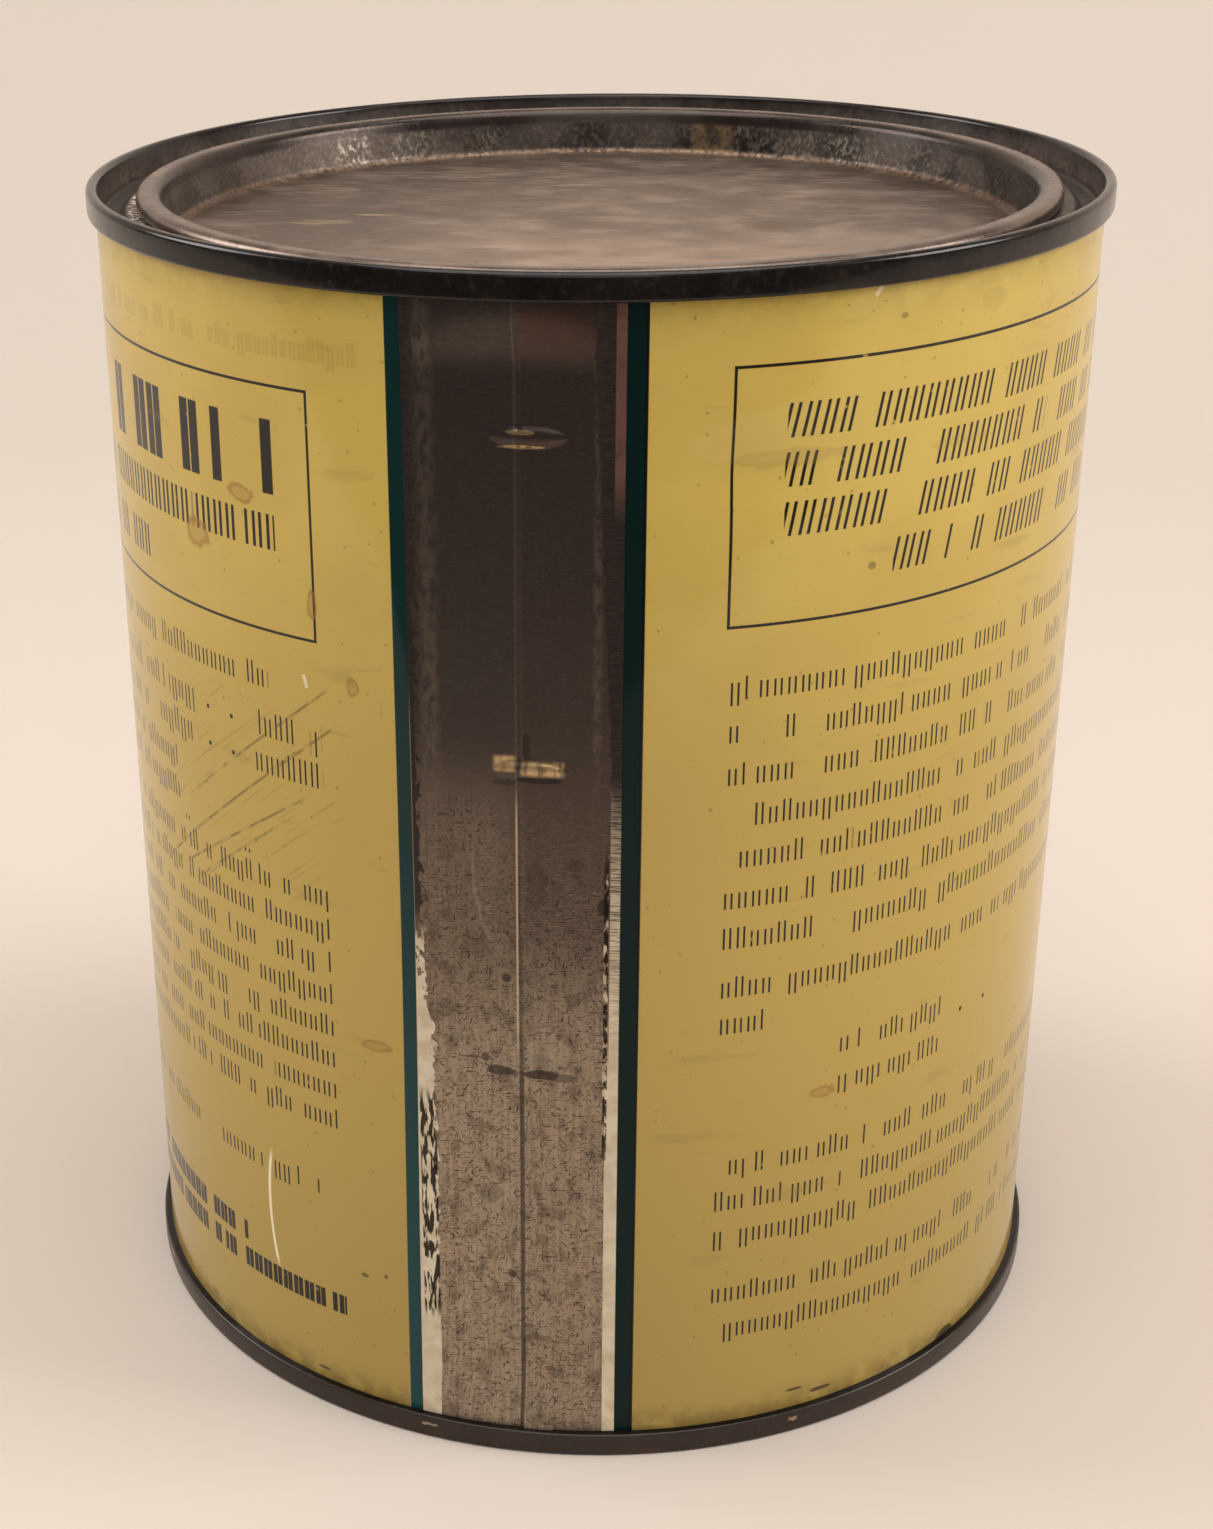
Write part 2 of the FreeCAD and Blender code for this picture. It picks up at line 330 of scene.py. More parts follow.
# Columns stand closer together near the seam, and rows near the stakes.
across = places[:, 0]
turns = across - seam_closeness * np.sin(2 * math.pi * across) / (2 * math.pi)
angle = 2 * math.pi * turns
height = wall_bottom + (places[:, 1] + 0.5) * (wall_top - wall_bottom)
wave = 2 * math.pi * (height - stake_first) / stake_pitch
fade = eased(height, wall_bottom, wall_bottom + end_zone)
fade = fade * (1 - eased(height, wall_top - end_zone, wall_top))
height = height - fade * stake_closeness * stake_pitch / (2 * math.pi) * np.sin(wave)

# The wall is round, and flat beside the seam, with a lead-in at each end.
sideways = np.sin(angle)
forwards = np.cos(angle)
from_end = np.minimum(height, tin_top - height)
lead = np.clip((from_end - flat_margin) / flat_lead, 0, 1)
flat_face = body_radius - flat_depth * lead
reach = body_radius * np.ones(len(angle))
front = forwards > 0.5
flat_reach = flat_face[front] / forwards[front]
gap = (flat_reach - body_radius) / flat_blend
reach[front] = body_radius - flat_blend * np.log1p(np.exp(-np.clip(gap, -400, 400)))
seam_side = reach * sideways

# The lock seam's folded edge, the stakes across it and the lap at its foot.
near_seam = front & (np.abs(seam_side) < seam_half_width)
groove = np.clip(1 - seam_side / lock_width, 0, 1) * (seam_side > 0.02 * MM)
groove = groove * (1 - 0.4 * eased(-from_end, -2 * end_zone, -end_zone))
press = -lock_depth * groove
for i in range(stake_count):
    up = (height - stake_first - i * stake_pitch) / stake_half_height
    along = (seam_side - stake_middle) / stake_half_length
    dome = np.sqrt(np.clip(1 - up**2 - along**2, 0, 1))
    staked = press * (1 - dome) + stake_rise * dome - lock_depth * groove * 0.3 * dome
    press = np.maximum(press, staked)
lap = eased(seam_side, lap_low - 0.3 * MM, lap_low)
lap = lap * (1 - eased(seam_side, lap_high, lap_high + 0.4 * MM))
lap = lap * (1 - eased(height, lap_top, lap_top + 1.2 * MM))
press = press + lap_rise * lap
reach = reach + np.where(near_seam, press, 0)

# Handling has left one long shallow dent at the right and the wall a little uneven.
arc = angle * body_radius
reach = reach - dent_depth * hump(arc, 26 * MM, 9 * MM) * hump(height, 132 * MM, 4.5 * MM)
reach = reach - hollow_depth * fade * hump(arc, -60 * MM, 14 * MM) * hump(height, 60 * MM, 22 * MM)
ripple = np.sin(arc / (11 * MM)) * np.sin(height / (17 * MM) + 2 * np.sin(angle))
reach = reach - ripple_depth * fade * (1 + ripple)
places = np.column_stack([reach * sideways, -reach * forwards, height])
body.data.vertices.foreach_set("co", places.ravel())
body.data.update()

bpy.ops.object.mode_set(mode="EDIT")
bpy.ops.mesh.select_all(action="SELECT")
bpy.ops.mesh.remove_doubles(threshold=weld)
bpy.ops.mesh.select_mode(type="EDGE")

# Both ends of the wall turn in under the end pieces, where the tin is closed. Each step says
# what share of its width the wall keeps and how far it rises.
for edge_height, steps in (
    (wall_bottom, ((0.995, 0), (0.98, 1.8 * MM))),
    (wall_top, ((0.993, 0), (0.995, -2.2 * MM), (0.85, -2.6 * MM))),
):
    pick_edges(body, lambda co: abs(co.z - edge_height) < fine_weld)
    level = edge_height
    for share, rise in steps:
        level += rise
        bpy.ops.mesh.extrude_region_move(TRANSFORM_OT_translate={"value": (0, 0, rise)})
        bpy.ops.transform.resize(value=(share, share, 1), center_override=(0, 0, level))
    bpy.ops.mesh.edge_face_add()
bpy.ops.mesh.select_all(action="SELECT")
bpy.ops.mesh.normals_make_consistent(inside=False)
bpy.ops.object.mode_set(mode="OBJECT")
bpy.ops.object.shade_smooth_by_angle(angle=smooth_angle)


def cloud(vector, size, detail=2.0, stretch=(1, 1, 1), turn=0.0, shift=0.0):
    """Noise about a half, with features of a size, drawn out along the axes by a stretch."""
    if turn:
        vector = vector.node("ShaderNodeMapping", {}, {0: vector, 2: (0, 0, -turn)})
    scale = [1 / (size * s) for s in stretch]
    mapped = vector.node("ShaderNodeMapping", {}, {0: vector, 1: (shift, shift, shift), 3: scale})
    return vector.node("ShaderNodeTexNoise", {}, {"Vector": mapped, "Scale": 1.0, "Detail": detail})


def spot(right, high, half_width, half_height, ragged=0.0):
    """One inside an oval on the sheet of the material in hand, and nothing round it."""
    settings = {1: (right, high, 0), 3: (half_width, half_height, 1)}
    inside = wire.node("ShaderNodeMapping", {"vector_type": "TEXTURE"}, {0: sheet, **settings})
    distance = wire.node("ShaderNodeVectorMath", {"operation": "LENGTH"}, {0: inside}, "Value")
    if ragged:
        distance = distance + blotches * ragged - ragged / 2
    return distance.rise(1.1, 0.85)


def line_between(start, end, half_width):
    """A straight thin mark on the same sheet, from one place to another."""
    run = Vector(end) - Vector(start)
    settings = {1: (*start, 0), 2: (0, 0, math.atan2(run.y, run.x)), 3: (run.length, half_width, 1)}
    along = wire.node("ShaderNodeMapping", {"vector_type": "TEXTURE"}, {0: sheet, **settings})
    along = wire.node("ShaderNodeSeparateXYZ", {}, {0: along})
    return abs(along.out("Y")).rise(1.0, 0.4) * along.out("X").between(0, 1, 0.03)


def add_relief(shader, strength, depth, height):
    """Low relief on a surface, from a wire for its height."""
    inputs = {"Strength": strength, "Distance": depth, "Height": height}
    plug(height.node("ShaderNodeBump", {}, inputs, "Normal"), shader, "Normal")


def tinplate_sheet(name):
    """A material for the body's sheet, with its places, its noises and its yellow ground.

    Places on the sheet are millimetres round the wall from the seam, plus to the right, and up.
    """
    material, shader, wire = new_material(name, Coat_Roughness=0.07, Specular_IOR_Level=0.05)
    place = wire.node("ShaderNodeTexCoord", {}, {}, "Object")
    parts = wire.node("ShaderNodeSeparateXYZ", {}, {0: place})
    around = wire.maths("ARCTAN2", parts.out("X"), -parts.out("Y")) * (body_radius / MM)
    up = parts.out("Z") * (1 / MM)
    sheet = wire.node("ShaderNodeCombineXYZ", {}, {0: around, 1: up})
    blotches = cloud(sheet, 2.6, 3.0)
    mottle = cloud(place, 0.02, 3.0)

    # Yellow ground: two close tones, painted darker and greyer towards the foot as shade under the
    # light from above, with specks and grime.
    ground = mottle.rise(0.35, 0.65).mix(colour(194, 163, 80), colour(202, 172, 86))
    ground = up.rise(130, 84).mix(ground, colour(184, 154, 78))
    ground = up.rise(84, 10).mix(ground, colour(168, 141, 72))
    specks = cloud(sheet, 0.8, 0.0, shift=40).rise(0.8, 0.84)
    ground = (specks * 0.45).mix(ground, colour(104, 84, 44))
    grime = (up.rise(8, 3.2) * 0.5 + up.rise(146, 151) * 0.16) * blotches.rise(0.3, 0.62)
    ground = grime.mix(ground, colour(94, 74, 46))
    return material, shader, (wire, sheet, around, up, blotches, mottle, ground, grime)


material, shader, wires = tinplate_sheet("printed sheet")
wire, sheet, around, up, blotches, mottle, ground, grime = wires

# Rows of short upright strokes, in groups, stand where the fine print would be. Each band of
# rows has its lowest edge, its first row's middle, the rows' pitch, where they start and stop
# as distances from the seam, the strokes' height and pitch, their thickness, gaps and lean.
panel_start = 24.3
panel_end = 112
right_bands = (
    (0.0, 0, 1, 0, 0, 0, 1, 0, 0, 0),
    (15.0, 23.3, 5.6, panel_start, panel_end, 2.1, 1.75, 0.27, 0.17, 0),
    (26.0, 0, 1, 0, 0, 0, 1, 0, 0, 0),
    (30.0, 42.4, 5.2, panel_start, panel_end, 2.1, 1.75, 0.27, 0.17, 0),
    (45.0, 0, 1, 0, 0, 0, 1, 0, 0, 0),
    (48.5, 57.0, 5.4, 41.3, 58.4, 2.0, 1.75, 0.27, 0.10, 0),
    (60.0, 62.6, 5.0, panel_start, 30.7, 2.1, 1.75, 0.27, 0.00, 0),
    (65.1, 67.6, 30.0, panel_start, panel_end, 2.1, 1.75, 0.27, 0.17, 0),
    (71.0, 106.2, 5.33, panel_start, panel_end, 2.1, 1.75, 0.27, 0.17, 0),
    (109.5, 0, 1, 0, 0, 0, 1, 0, 0, 0),
    (117.0, 120.0, 5.73, 45.0, 106, 4.0, 2.3, 0.42, 0.22, 0.2),
    (123.0, 137.2, 5.6, 30.5, 106, 3.9, 2.3, 0.42, 0.24, 0.2),
    (140.0, 0, 1, 0, 0, 0, 1, 0, 0, 0),
)
left_bands = (
    (0.0, 0, 1, 0, 0, 0, 1, 0, 0, 0),
    (14.0, 16.4, 5.0, 24.6, panel_end, 3.0, 2.0, 0.80, 0.17, 0),
    (18.6, 20.7, 5.0, 43.0, panel_end, 3.0, 2.0, 0.80, 0.17, 0),
    (24.0, 33.8, 30.0, 26.7, panel_end, 2.1, 1.75, 0.28, 0.17, 0),
    (42.6, 76.3, 4.52, 24.5, panel_end, 2.1, 1.7, 0.28, 0.17, 0),
    (79.0, 0, 1, 0, 0, 0, 1, 0, 0, 0),
    (79.6, 87.0, 4.6, 53.6, panel_end, 2.1, 1.7, 0.28, 0.17, 0),
    (89.5, 97.0, 4.9, 24.8, panel_end, 2.4, 1.8, 0.27, 0.10, 0),
    (99.8, 103.3, 30.0, 32.8, panel_end, 2.2, 1.75, 0.28, 0.17, 0),
    (106.5, 0, 1, 0, 0, 0, 1, 0, 0, 0),
    (112.0, 114.7, 30.0, 57.4, 106, 4.2, 2.3, 0.50, 0.20, 0),
    (118.2, 121.9, 30.0, 30.5, 106, 4.3, 2.3, 0.50, 0.20, 0),
    (125.3, 130.9, 30.0, 29.8, 106, 8.8, 4.3, 1.70, 0.14, 0),
    (140.5, 143.7, 30.0, 18.0, 72.0, 2.0, 1.3, 0.50, 0.30, 0),
)

# A ramp's colours hold three columns at a time, each as a share of the most that it can be.
most = (tin_top / MM, 30, 120, 120, 10, 10, 10, 1, 1)
distance = abs(around)
left_side = around.rise(0.1, -0.1)
sheet_up = up * (MM / tin_top)


def band_values(first, last):
    """Three of the bands' columns as wires, each back in its own unit."""
    ramps = []
    for bands in (right_bands, left_bands):
        stops = []
        for low_edge, *columns in bands:
            shares = [value / most[first + i] for i, value in enumerate(columns[first:last])]
            stops.append((low_edge * MM / tin_top, (*shares, 1)))
        ramps.append(wire.node("ShaderNodeValToRGB", {"stops": stops}, {0: sheet_up}))
    chosen = wire.node("ShaderNodeSeparateColor", {}, {0: left_side.mix(*ramps)})
    names = ("Red", "Green", "Blue")
    return [chosen.out(name) * most[first + i] for i, name in enumerate(names)]


first_row, pitch, near = band_values(0, 3)
far, tall, stroke_pitch = band_values(3, 6)
thick, gaps, leaning = band_values(6, 9)
row = wire.maths("FLOOR", (first_row - up) / pitch + 0.5)
above = up - first_row + row * pitch
strokes_out = (distance - above * leaning) / stroke_pitch
cell = wire.maths("FLOOR", strokes_out)
within = (strokes_out - cell) * stroke_pitch
where = wire.node("ShaderNodeCombineXYZ", {}, {0: cell, 1: row, 2: first_row + left_side * 7})
draw = wire.node("ShaderNodeTexWhiteNoise", {"noise_dimensions": "3D"}, {"Vector": where})
dice = wire.node("ShaderNodeSeparateColor", {}, {0: draw.out("Color")})
small_row = tall.rise(2.6, 2.5)
first_stroke = (thick / 2 - abs(within - stroke_pitch * 0.27)).rise(-0.05, 0.05)
second_stroke = (thick / 2 - abs(within - stroke_pitch * 0.72)).rise(-0.05, 0.05)
second_stroke = second_stroke * dice.out("Red").rise(0.24, 0.25)
rise_above = tall * (dice.out("Blue").rise(0.70, 0.71) * small_row * 0.35 + 0.5)
drop_below = tall * (dice.out("Blue").rise(0.12, 0.11) * small_row * 0.35 + 0.5)
row_ends = (rise_above - above).rise(-0.06, 0.06) * (above + drop_below).rise(-0.06, 0.06)
not_gap = (draw.out("Value") - gaps).rise(0.0, 0.01)
in_panel = (distance - near).rise(-0.05, 0.05) * (far - distance).rise(-0.05, 0.05)
blank = distance.between(35.8, 47.4) * up.between(89.5, 100.0) * left_side
ink = first_stroke.either(second_stroke) * row_ends * not_gap * in_panel * (1 - blank)

# A ruled frame stands on each side of the seam, and dotted leaders run out to the figures.
frame_thick = 0.36
frame_middle = 128.7
frame_half_height = 14.8
left_frame_drop = 4.25
dot_size = 0.32
frame_side = abs(distance - (left_side * 0.4 + (panel_end + panel_start) / 2))
frame_side = frame_side + left_side * 0.4 - (panel_end - panel_start) / 2
frame_end = abs(up - frame_middle + left_side * left_frame_drop) - frame_half_height
frame_line = abs(frame_side.either(frame_end))
ink = ink.either(frame_line.rise(frame_thick / 2 + 0.05, frame_thick / 2 - 0.05))
left_dots = ((-44.7, 96.8), (-39.9, 96.8), (-44.7, 91.9), (-39.9, 92.0))
right_dots = ((62.8, 55.2), (68.3, 54.9))
for right, high in left_dots + right_dots:
    ink = spot(right, high, dot_size, dot_size).either(ink)
ink = ink * cloud(sheet, 1.6, 2.0, shift=9).rise(0.24, 0.34, 0.4, 1.0)
ink = ink * (1 - left_side * up.rise(140.4, 140.6) * 0.88)
printed = ink.mix(ground, colour(30, 27, 20))

# Wear on the print: rings left by drops, a bundle of slanting scratches, one white scratch; also two
# small painted glints, and painted shade in the long dent at the right.
drops = (
    (-35.8, 125.8, 2.2, 1.1),
    (-44.7, 119.0, 2.4, 1.8),
    (-25.4, 114.2, 0.7, 1.7),
    (-20.1, 104.8, 0.9, 1.2),
    (-18.7, 57.4, 2.2, 0.8),
    (38.8, 50.9, 1.8, 1.0),
)
stain = 0
for right, high, half_width, half_height in drops:
    outer = spot(right, high, half_width, half_height, 1.4)
    inner = spot(right, high, half_width * 0.7, half_height * 0.65, 1.4)
    stain = (outer * 0.62 - inner * 0.3).either(stain)
printed = stain.mix(printed, colour(146, 98, 44))
smudges_and_dent_shade = cloud(sheet, 7.0, 4.0, stretch=(2.2, 0.5, 1), shift=3).rise(0.62, 0.74)
# Painted shade: a soft dark band in the long shallow dent at the right of the seam.
smudges_and_dent_shade = smudges_and_dent_shade.either(spot(30.5, 133.0, 6.5, 1.1, 1.4) * 0.9)
printed = (smudges_and_dent_shade * 0.22).mix(printed, colour(128, 104, 58))
slant = math.radians(38)
bundle = cloud(sheet, 0.5, 3.0, stretch=(30, 0.8, 1), turn=slant, shift=5).rise(0.6, 0.7)
scratch = bundle * spot(-40, 87, 17, 15, 0.6) * 0.5
for start, end in (
    ((-24, 103.6), (-50, 83.4)),
    ((-23, 99.2), (-58, 71.8)),
    ((-28, 88.9), (-52, 73.3)),
    ((-30, 86.0), (-50, 71.5)),
):
    scratch = (line_between(start, end, 0.24) * blotches.rise(0.38, 0.6, 0.1, 0.85)).either(scratch)
printed = (scratch * 0.75).mix(printed, colour(88, 70, 38))
marks = 0
for right, high, half_width, half_height, strength in (
    (65.0, 3.4, 2.2, 1.0, 0.85),
    (37.2, 6.0, 1.4, 0.25, 0.85),
    (41.3, 4.9, 1.7, 0.3, 0.85),
    (-15.8, 103.0, 0.6, 6.5, 0.22),
    (-21.5, 22.4, 0.6, 0.35, 0.7),
    (-18.3, 23.1, 0.35, 0.3, 0.7),
    (-28.8, 4.8, 1.1, 0.25, 0.7),
    (-53.2, 5.2, 1.0, 0.6, 0.35),
    (58.6, 147.2, 2.2, 1.4, 0.1),
    (44.6, 147.3, 0.5, 0.35, 0.45),
    (42.1, 119.2, 0.5, 0.5, 0.5),
):
    marks = (spot(right, high, half_width, half_height, 1.4) * strength).either(marks)
printed = marks.mix(printed, colour(50, 40, 28))
bend = (up - 28) * (up - 28) * 0.012
white_scratch_and_glints = abs(around + 37.7 - bend).rise(0.34, 0.12) * up.between(18.6, 35.5, 1.2)
# Two short painted glints join the white scratch.
for start, end in (((-26.7, 103.6), (-27.1, 105.2)), ((40.6, 149.9), (41.6, 151.2))):
    white_scratch_and_glints = (line_between(start, end, 0.35) * 0.7).either(white_scratch_and_glints)
printed = (white_scratch_and_glints * 0.9).mix(printed, colour(236, 226, 190))

plug(printed, shader, "Base Color")
varnish = mottle * 0.1 + grime * 0.3 + stain * 0.3 + 0.26
plug(varnish, shader, "Roughness")
plug((1 - grime) * 0.6, shader, "Coat Weight")
add_relief(shader, 0.6, sheet_relief, mottle)
body.data.materials.append(material)

# Seam margin: bare tinplate, dark with lacquer at the top, worn, pitted and paler below; its
# dark-to-pale run is partly a painted reflection of the dim studio in front and the pale floor.
# It is a strip of the same rolled sheet, edged by a dark green stripe on each side, so it has a
# material of its own and no mesh.
material, shader, wires = tinplate_sheet("seam margin")
wire, sheet, around, up, blotches, mottle, ground, grime = wires
down = 145 - up
grain = cloud(sheet, 0.45, 2.0)
torn = cloud(sheet, 1.3, 3.0, stretch=(0.6, 1.5, 1), shift=43)
lean = around - up.rise(5, 80, -0.25, 0.3)
teal_left = lean.between(-14.9, -13.12)
teal_right = around.between(12.37, 14.6)
margin = lean.rise(-13.26, -13.14) * around.rise(12.51, 12.39)
pitting = up.rise(98, 78)
# Partly painted reflection: dark at the top, where the dim studio is mirrored, and pale below, where
# the floor is.
tin = up.rise(104, 70).mix(colour(72, 64, 60), colour(114, 99, 86))
tin = up.rise(78, 58).mix(tin, colour(172, 152, 129))
paler_side = around.rise(2.0, -4.0) * up.between(62, 92, 8.0)
tin = (paler_side * 0.55).mix(tin, colour(146, 125, 106))
streaks = cloud(sheet, 0.7, 3.0, stretch=(0.6, 12, 1), shift=11).rise(0.35, 0.7)
tin = (streaks * 0.3).mix(tin, colour(80, 68, 60))
brushed = cloud(sheet, 0.3, 3.0, stretch=(5, 0.6, 1), turn=0.04, shift=15)
tin = (brushed.rise(0.52, 0.7) * (pitting * 0.2 + 0.06)).mix(tin, colour(178, 154, 128))
tin = (brushed.rise(0.48, 0.3) * (pitting * 0.18 + 0.08)).mix(tin, colour(66, 55, 47))
patches = cloud(sheet, 2.4, 5.0, stretch=(0.8, 1.3, 1), shift=17).rise(0.48, 0.66)
tin = (patches * pitting * 0.5).mix(tin, colour(92, 77, 64))
browner = around.rise(0.5, 1.0) * up.rise(142, 150, 0.08, 0.42)
tin = browner.mix(tin, colour(88, 56, 46))
left_edge_line = around.between(-11.3, -9.4, 0.7) * up.rise(78, 100) * torn.rise(0.35, 0.6)
right_edge_line = around.between(9.0, 9.9, 0.3) * up.rise(90, 104) * torn.rise(0.35, 0.6)
tin = (left_edge_line.either(right_edge_line) * 0.5).mix(tin, colour(118, 104, 92))

# Its pits, short scratches in all directions, a few larger spots and smudges, and painted shade under
# the second and third stakes from the top.
pits = cloud(sheet, 0.55, 2.0, shift=23).rise(0.6, 0.68)
pits = pits * blotches.rise(0.35, 0.6) * (pitting * 0.9 + 0.05)
cluster = spot(3.6, 120.5, 3.6, 3.4, 1.0).either(spot(-6.0, 89.0, 5.0, 4.0, 1.0))
pits = pits.either(cloud(sheet, 0.5, 0.5, shift=29).rise(0.6, 0.66) * cluster * 0.7)
for turn, shift in ((0.6, 31), (-0.75, 33), (1.4, 35), (0.1, 37)):
    hair = cloud(sheet, 0.3, 1.0, stretch=(5, 0.7, 1), turn=turn, shift=shift).rise(0.63, 0.71)
    pits = (hair * pitting).either(pits)
smears_and_stake_shade = 0
for right, high, half_width, half_height, strength in (
    (-1.5, 69.0, 0.6, 0.6, 0.9),
    (-1.1, 26.3, 0.55, 0.55, 0.9),
    (-4.3, 57.9, 0.55, 0.6, 0.8),
    (-6.0, 57.8, 1.4, 0.16, 0.7),
    (2.2, 82.0, 1.1, 3.2, 0.35),
    (10.5, 79.4, 0.9, 1.2, 0.9),
    (1.1, 99.4, 0.5, 1.9, 0.8),
    (-3.8, 38.4, 1.6, 1.5, 0.35),
    (7.0, 84.5, 1.0, 0.8, 0.45),
    # Painted shade on the lower flank of the third stake from the top.
    (-2.2, 56.2, 2.0, 0.75, 0.9),
    (2.6, 56.0, 2.6, 0.8, 0.95),
    (5.2, 55.7, 1.8, 0.6, 0.6),
    (2.2, 17.0, 1.9, 0.4, 0.45),
    # Painted shadow under the second stake from the top.
    (2.6, 95.2, 2.9, 0.4, 0.9),
    (-1.6, 94.8, 1.5, 0.4, 0.6),
):
    smears_and_stake_shade = (spot(right, high, half_width, half_height, 0.9) * strength).either(smears_and_stake_shade)
dirt_and_stake_shade = pits.either(smears_and_stake_shade)
tin = (dirt_and_stake_shade * 0.85).mix(tin, colour(42, 35, 32))

# The second stake from the top has a painted highlight, bright and yellowish, over its upper half,
# the first has painted highlights along its edges, and a painted sheen lies above the third.
paler_patches = around.between(0.5, 5.6, 0.3) * up.between(95.9, 97.5, 0.4)
paler_patches = paler_patches * torn.rise(0.36, 0.56, 0.35, 1.0)
left_stake_highlight = around.between(-2.8, -0.3, 0.4) * up.between(96.3, 98.1, 0.3)
left_stake_highlight = left_stake_highlight * torn.rise(0.3, 0.5, 0.5, 1.0)
top_stake_highlights = spot(0.7, 136.5, 1.7, 0.3, 0.9).either(spot(0.8, 134.8, 2.6, 0.25, 0.9))
paler_patches = paler_patches.either(left_stake_highlight).either(top_stake_highlights * 0.5)
tin = paler_patches.mix(tin, colour(206, 172, 126))
# Painted sheen above the third stake from the top.
tin = (spot(3.6, 58.9, 3.4, 1.7, 2.4) * 0.2).mix(tin, colour(190, 168, 146))
curve = (up - 84) * (up - 84) * 0.02
curved_scratch = abs(around + 5.6 - curve).rise(0.3, 0.1) * up.between(74, 86, 2.0)
tin = (curved_scratch * 0.2).mix(tin, colour(186, 158, 132))

# Lacquer bands down both sides of the margin, over cream lines that wear has left ragged.
lacquer_edge = down * -0.005 - 11.7 + (torn - 0.5) * 3.2
lacquer_left = (around - lacquer_edge).rise(0.15, -0.15) * up.rise(72, 79)
lacquer_right = (around - down * 0.045 - 9.0 + (torn - 0.5) * 1.2).rise(-0.1, 0.1) * up.rise(76, 90)
lacquer = lacquer_left.either(lacquer_right)
lacquered = brushed.rise(0.3, 0.75).mix(colour(38, 32, 30), colour(58, 49, 44))
banded = (lacquer * 0.9).mix(tin, lacquered)
pink = around.rise(11.15, 11.3) * up.rise(126, 133)
banded = (pink * blotches.rise(0.25, 0.5, 0.5, 0.9)).mix(banded, colour(112, 80, 70))
cream = blotches.rise(0.3, 0.75).mix(colour(220, 203, 176), colour(196, 176, 146))
ticks = cloud(sheet, 0.22, 1.0, stretch=(12, 0.9, 1), shift=47).rise(0.5, 0.6)
cream_right = around.rise(11.1, 11.25).either(around.rise(10.7, 10.8) * up.rise(62, 56))
cream_right = cream_right * up.rise(97, 88) * (1 - ticks * up.rise(48, 84) * 0.85)
banded = (cream_right * up.rise(98, 66, 0.35, 1.0)).mix(banded, cream)
ragged_right = around.between(10.45, 11.0) * up.between(44, 86, 3.0)
banded = (ragged_right * torn.rise(0.47, 0.5) * 0.9).mix(banded, colour(30, 24, 21))
banded = (ragged_right * torn.rise(0.43, 0.4) * 0.85).mix(banded, cream)
cream_edge = up.rise(16, 24, -10.7, -10.9) + (torn - 0.5) * up.rise(17, 30, 0.0, 3.0)
cream_edge = cream_edge - up.rise(62, 66, 0.0, 0.8)
cream_left = (around - cream_edge).rise(0.06, -0.06) * up.rise(76, 73)
cream_left = cream_left * (torn + up.rise(74, 60) * 0.25).rise(0.5, 0.53).either(up.rise(30, 22))
cream_left = cream_left.either((lean + 13.1).between(-0.08, 0.02, 0.04) * up.rise(108, 100, 0.0, 0.7))
banded = cream_left.mix(banded, cream)
torn_band = around.between(-12.8, -10.7, 0.1) * up.between(19, 52, 1.5)
torn_dark = cloud(sheet, 1.1, 2.0, stretch=(0.5, 3.2, 1), shift=53).rise(0.47, 0.52)
banded = (torn_band * torn_dark * 0.95).mix(banded, colour(27, 22, 20))
# Painted shade along the lock seam's groove, lower down, and a painted highlight along its crest.
fold_shade = around.between(0.05, 0.6, 0.12)
banded = (fold_shade * up.rise(84, 50, 0.0, 0.75)).mix(banded, colour(70, 63, 52))
crest_highlight = around.between(-0.27, -0.03, 0.08)
banded = (crest_highlight * up.between(60, 92, 4.0).rise(0, 1, 0.06, 0.75)).mix(banded, colour(214, 186, 158))

# The green stripes are painted darker towards the top, as a reflection of the dim studio, and the
# right one darker still, as painted shade.
teal_with_painted_shade = up.rise(20, 110).mix(colour(18, 62, 64), colour(7, 42, 40))
surface = margin.mix(ground, banded)
surface = teal_left.mix(surface, teal_with_painted_shade)
surface = teal_right.mix(surface, colour(6, 30, 28))
surface = around.between(14.35, 14.75).mix(surface, colour(12, 16, 14))
plug(surface, shader, "Base Color")

bare = margin * (1 - cream_right) * (1 - cream_left) * (1 - lacquer * 0.8)
metal = bare * (1 - dirt_and_stake_shade * 0.8) * up.rise(60, 110, 0.62, 0.75)
plug(metal, shader, "Metallic")
varnish = mottle * 0.1 + grime * 0.3 + 0.26
bare_roughness = up.rise(100, 70, 0.3, 0.5) + (grain - 0.5) * 0.2
plug((1 - margin) * varnish + margin * bare_roughness, shader, "Roughness")
plug((1 - margin - teal_right * 0.7 - teal_left * 0.3) * 0.6, shader, "Coat Weight")
add_relief(shader, 0.6, sheet_relief, mottle + margin * grain * pitting)
body.data.materials.append(material)
margin_half_width = 16 * MM
for face in body.data.polygons:
    near = abs(face.center.x) < margin_half_width and face.center.y < -body_radius / 2
    face.material_index = 1 if near else 0
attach(body, "root")
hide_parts("can_body")


# Lever ring: turned from dark tinplate, it is double seamed to the body and holds the lid.
# From the seam it drops to a narrow channel and rises to the shoulder round the mouth.
seam_radius = min(cad_box[1][0], cad_box[1][1])
seam_thickness = 1.4 * MM
seam_inner = seam_radius - seam_thickness
seam_lip = body_radius - 0.3 * MM
seam_crown = 0.65 * MM
seam_hem = 0.45 * MM
foot_rounding = 0.6 * MM
plate = 0.5 * MM
chuck_foot = seam_inner - 0.5 * MM
channel_depth = 3.9 * MM
channel_width = 2.1 * MM
shoulder_depth = 3.2 * MM
shoulder_radius = chuck_foot - 3.0 * MM
lid_low, lid_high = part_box("lever_lid")
curl_radius = lid_high.x
mouth_radius = curl_radius - 3.0 * MM
plug_foot = mouth_radius - 0.9 * MM
turned_sides = 288
rounding_steps = 6


